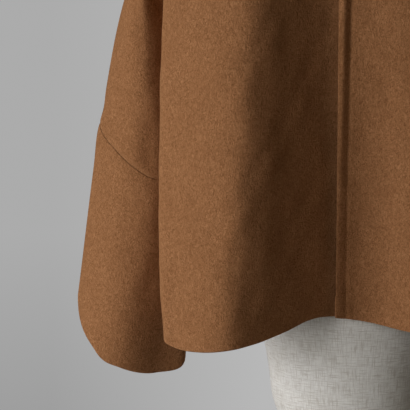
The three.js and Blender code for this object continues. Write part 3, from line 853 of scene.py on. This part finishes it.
def steel_material():
    """Steel brushed round the pole, a little smudged."""
    w = Nodes("steel")
    brushed = w.noise("Object", BRUSHING, detail=4, rough=0.6)
    smudge = w.noise("Object", SMUDGES, detail=3, rough=0.5)
    colour = w.mix(w.ramp(brushed, 0.3, 0.7), linear(*STEEL["low"]), linear(*STEEL["high"]))
    rough = w.math("ADD", w.ramp(brushed, 0.3, 0.7, 0.24, 0.34), w.ramp(smudge, 0.3, 0.7, 0, 0.1))
    return w.set(Base_Color=colour, Metallic=1.0, Roughness=rough,
                 Normal=w.bump(brushed, 0.15, 0.0003))


def floor_material():
    w = Nodes("studio_floor")
    cloud = w.noise("Object", FLOOR_CLOUD, detail=3, rough=0.5)
    colour = w.mix(w.ramp(cloud, 0.3, 0.7), linear(*FLOOR["low"]), linear(*FLOOR["high"]))
    return w.set(Base_Color=colour, Roughness=0.85)


# ---- The form and the stand ----

FORM_SHRINK = 0.8  # the smooth form stays this far inside the faceted one's clearances
FORM_SIDES = 160
FOOT_ROWS, BODY_ROWS, NECK_ROWS = 14, 150, 12
FORM_UV_RADIUS = 0.13  # metres; sets how wide the weave lies round the form
TURNED_UV_RADIUS = 0.1


def rings_mesh(name, rings, uv_rings):
    """A closed skin over rings of points, with a flat cap at each end."""
    rows, sides = rings.shape[:2]
    index = np.arange(rows * sides).reshape(rows, sides)
    after = np.roll(index, -1, axis=1)
    quads = np.stack([index[:-1], after[:-1], after[1:], index[1:]], -1).reshape(-1, 4)
    faces = quads.tolist() + [index[0, ::-1].tolist(), index[-1].tolist()]
    corner = np.array([i for face in faces for i in face])
    return make_mesh(name, rings.reshape(-1, 3), faces, uv_rings.reshape(-1, 2)[corner])


def form_torso():
    """The limbless form, from its foot above the collar to the top of its neck."""
    heights = [row["z"] for row in FORM]
    foot, foot_top, neck, neck_top = heights[0], heights[2], heights[-2], heights[-1]
    z = np.concatenate([np.linspace(foot, foot_top, FOOT_ROWS),
                        np.linspace(foot_top, neck, BODY_ROWS)[1:],
                        np.linspace(neck, neck_top, NECK_ROWS)[1:]])
    size = {key: along(heights, [float(row[key]) for row in FORM], z, taut=True)
            for key in ("half_width", "front", "back", "fullness")}
    angle = 2 * math.pi * np.arange(FORM_SIDES) / FORM_SIDES
    cos, sin = np.cos(angle), np.sin(angle)
    power = 2 / size["fullness"][:, None]
    reach = np.where(sin < 0, size["front"][:, None], size["back"][:, None]) - FORM_SHRINK
    x = np.sign(cos) * np.abs(cos) ** power * (size["half_width"][:, None] - FORM_SHRINK)
    y = np.sign(sin) * np.abs(sin) ** power * reach
    rings = np.stack([x, y, np.broadcast_to(z[:, None], x.shape)], -1) * MM
    uv = np.stack([np.broadcast_to(angle * FORM_UV_RADIUS, x.shape), rings[..., 2]], -1)
    return rings_mesh("form_linen", rings, uv)


def turned(name, profile, z, oval=1, sides=96):
    """A turned piece standing at height z, from its (radius, height) profile in mm."""
    angle = 2 * math.pi * np.arange(sides) / sides
    rings = np.array([np.stack([r * np.cos(angle), r * oval * np.sin(angle),
                                np.full(sides, z + h)], -1) for r, h in profile]) * MM
    uv = np.stack([np.broadcast_to(angle * TURNED_UV_RADIUS, rings.shape[:2]), rings[..., 2]], -1)
    return rings_mesh(name, rings, uv)


def rounded_edge(radius, height, size, steps=5):
    """The top outer edge of a turned piece, rounded."""
    return [(radius - size + size * math.cos(t), height - size + size * math.sin(t))
            for t in np.linspace(0, math.pi / 2, steps)]


# Where the stand's pieces meet, and the oval cap's depth for its width.
BASE_TOP, HUB_TOP, POLE_TOP = 10, 32, 504
CAP_FOOT = 1436.3
CAP_OVAL = 56 / 60

# Their profiles, as (radius, height) points from each one's own foot.
CAP = [(57, 0), (59.4, 0.8), (60, 2.5)] + rounded_edge(60, 13, 5, steps=7) + [(30, 13)]
COLLAR = [(20.5, 0), (21.5, 1), (24, 4)] + rounded_edge(24, 26, 1.2)
POLE = [(13.6, 0), (14, 0.5), (14, POLE_TOP - HUB_TOP - 0.5), (13.6, POLE_TOP - HUB_TOP)]
HUB = [(33.4, 0), (34, 0.6)] + rounded_edge(34, 11, 2) + [(24, 15), (19, 20),
                                                          (17, HUB_TOP - BASE_TOP)]
BASE = [(164, 0), (165, 1)] + rounded_edge(165, BASE_TOP, 3)
BASE_SIDES = 160


def stand_pieces():
    return {
        "neck_cap": (turned("cap_turned", CAP, CAP_FOOT, oval=CAP_OVAL), "wood"),
        "pole_collar": (turned("collar_turned", COLLAR, POLE_TOP), "steel"),
        "pole": (turned("pole_turned", POLE, HUB_TOP), "steel"),
        "base_hub": (turned("hub_turned", HUB, BASE_TOP), "steel"),
        "base_plate": (turned("base_turned", BASE, 0, sides=BASE_SIDES), "steel"),
    }


# ---- Studio ----

# Each light's name, place, what it faces, size, watts and colour.
LIGHTS = (
    ("key", (-3.66, -2.23, 1.45), (-0.1, 0, 1.0), (3.1, 3.1), 182, (1.0, 0.99, 0.97)),
    ("back", (1.3, 3.3, 1.9), (0, 0.1, 1.0), (2.4, 2.2), 56, (1.0, 0.96, 0.9)),
    ("front", (0.2, -3.2, 1.8), (0, 0, 1.1), (1.6, 1.8), 1.7, (1.0, 0.92, 0.78)))
FILL_COLOUR, FILL_STRENGTH = (1.0, 0.76, 0.2, 1), 0.034

# A long lens in front of the right sleeve, tipped down a little.
LENS, SENSOR = 101.3, 36
CAMERA_PLACE = (-0.214, -1.700, 1.0276)
CAMERA_TILT = 84.5  # degrees up from straight down

# The backdrop's two greys, the darker one being painted shade. It darkens over these parts of the
# view:
# to the left, and more so towards the bottom.
BACKDROP_UNSHADED, BACKDROP_PAINTED_SHADE = (183, 183, 183), (158, 158, 158)
LEFT_BAND = (-0.13, 0.05)
LOW_BAND = (-0.12, -0.27)
LOW_GAIN = 2.1

FLOOR_RADIUS, FLOOR_SIDES = 1.5, 128
FLOOR_Z = -0.0005


def look_at(obj, target):
    way = np.array(target) - np.array(obj.location)
    yaw = math.atan2(way[1], way[0]) - math.pi / 2
    pitch = math.atan2(way[2], math.hypot(way[0], way[1])) + math.pi / 2
    obj.rotation_euler = (pitch, 0, yaw)


def area_light(name, place, target, size, watts, colour):
    light = bpy.data.lights.new(name, "AREA")
    light.shape = "RECTANGLE"
    light.size, light.size_y = size
    light.energy = watts
    light.color = colour
    obj = bpy.data.objects.new(name, light)
    bpy.context.scene.collection.objects.link(obj)
    obj.location = place
    look_at(obj, target)


def studio_camera():
    camera = bpy.data.cameras.new("camera")
    camera.sensor_width = SENSOR
    camera.lens = LENS
    obj = bpy.data.objects.new("camera", camera)
    bpy.context.scene.collection.objects.link(obj)
    obj.location = CAMERA_PLACE
    obj.rotation_euler = (math.radians(CAMERA_TILT), 0, 0)
    bpy.context.scene.camera = obj


def backdrop_shade(nodes, links):
    """A grey with painted shade, which darkens softly to the left, and most of all at the lower
    left.
    """

    def ranged(value, low, high, to_low, to_high):
        node = nodes.new("ShaderNodeMapRange")
        links.new(value, node.inputs["Value"])
        for key, number in (("From Min", low), ("From Max", high),
                            ("To Min", to_low), ("To Max", to_high)):
            node.inputs[key].default_value = number
        return node.outputs[0]

    way = nodes.new("ShaderNodeSeparateXYZ")
    links.new(nodes.new("ShaderNodeTexCoord").outputs["Generated"], way.inputs[0])
    to_left = ranged(way.outputs["X"], *LEFT_BAND, 1.0, 0.0)
    below = ranged(way.outputs["Z"], *LOW_BAND, 1.0, LOW_GAIN)
    both = nodes.new("ShaderNodeMath")
    both.operation = "MULTIPLY"
    links.new(to_left, both.inputs[0])
    links.new(below, both.inputs[1])
    # Painted shade: the ramp runs from the unshaded grey to the darker, shaded one.
    ramp = nodes.new("ShaderNodeValToRGB")
    ramp.color_ramp.elements[0].color = linear(*BACKDROP_UNSHADED)
    ramp.color_ramp.elements[1].color = linear(*BACKDROP_PAINTED_SHADE)
    links.new(ranged(both.outputs[0], 0.0, LOW_GAIN, 0.0, 1.0), ramp.inputs[0])
    return ramp.outputs["Color"]


def studio_world():
    """A grey studio behind the coat, with painted shade, seen by the camera only, and a dim even
    light from all round.
    """
    world = bpy.data.worlds.new("studio")
    bpy.context.scene.world = world
    world.use_nodes = True
    nodes, links = world.node_tree.nodes, world.node_tree.links
    nodes.clear()
    seen = nodes.new("ShaderNodeBackground")
    links.new(backdrop_shade(nodes, links), seen.inputs["Color"])
    fill = nodes.new("ShaderNodeBackground")
    fill.inputs["Color"].default_value = FILL_COLOUR
    fill.inputs["Strength"].default_value = FILL_STRENGTH
    path = nodes.new("ShaderNodeLightPath")
    mix = nodes.new("ShaderNodeMixShader")
    out = nodes.new("ShaderNodeOutputWorld")
    links.new(path.outputs["Is Camera Ray"], mix.inputs[0])
    links.new(fill.outputs[0], mix.inputs[1])
    links.new(seen.outputs[0], mix.inputs[2])
    links.new(mix.outputs[0], out.inputs["Surface"])


def studio_floor(material):
    angle = 2 * math.pi * np.arange(FLOOR_SIDES) / FLOOR_SIDES
    points = np.stack([FLOOR_RADIUS * np.cos(angle), FLOOR_RADIUS * np.sin(angle),
                       np.full(FLOOR_SIDES, FLOOR_Z)], -1)
    floor = make_mesh("studio_floor", points, [list(range(FLOOR_SIDES))])
    floor.data.materials.append(material)


def studio():
    bpy.context.scene.view_settings.view_transform = "Standard"
    studio_camera()
    studio_world()
    studio_floor(floor_material())
    for light in LIGHTS:
        area_light(*light)


# ---- Everything, in its place ----

def main():
    materials = {"wool": wool_material(), "linen": linen_material(),
                 "wood": wood_material(), "steel": steel_material()}
    cloth = {
        "front_right": panel("cloth_front_right",
                             ("front_right", RIGHT, FRONT, FRONT_RIGHT)),
        "front_left": panel("cloth_front_left",
                            ("front_left", LEFT, FRONT, FRONT_LEFT, True)),
        "back": panel("cloth_back", ("back_right", RIGHT, BACK, BACK_RIGHT),
                      ("back_left", LEFT, BACK, BACK_LEFT)),
        "sleeve_right": sleeve("cloth_sleeve_right", RIGHT),
        "sleeve_left": sleeve("cloth_sleeve_left", LEFT),
    }
    pieces = {node: (piece, "wool") for node, piece in cloth.items()}
    pieces["form_torso"] = (form_torso(), "linen")
    pieces.update(stand_pieces())
    for node, (piece, slot) in pieces.items():
        piece.data.materials.append(materials[slot])
        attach(piece, "root")
        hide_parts(node)
    studio()


main()
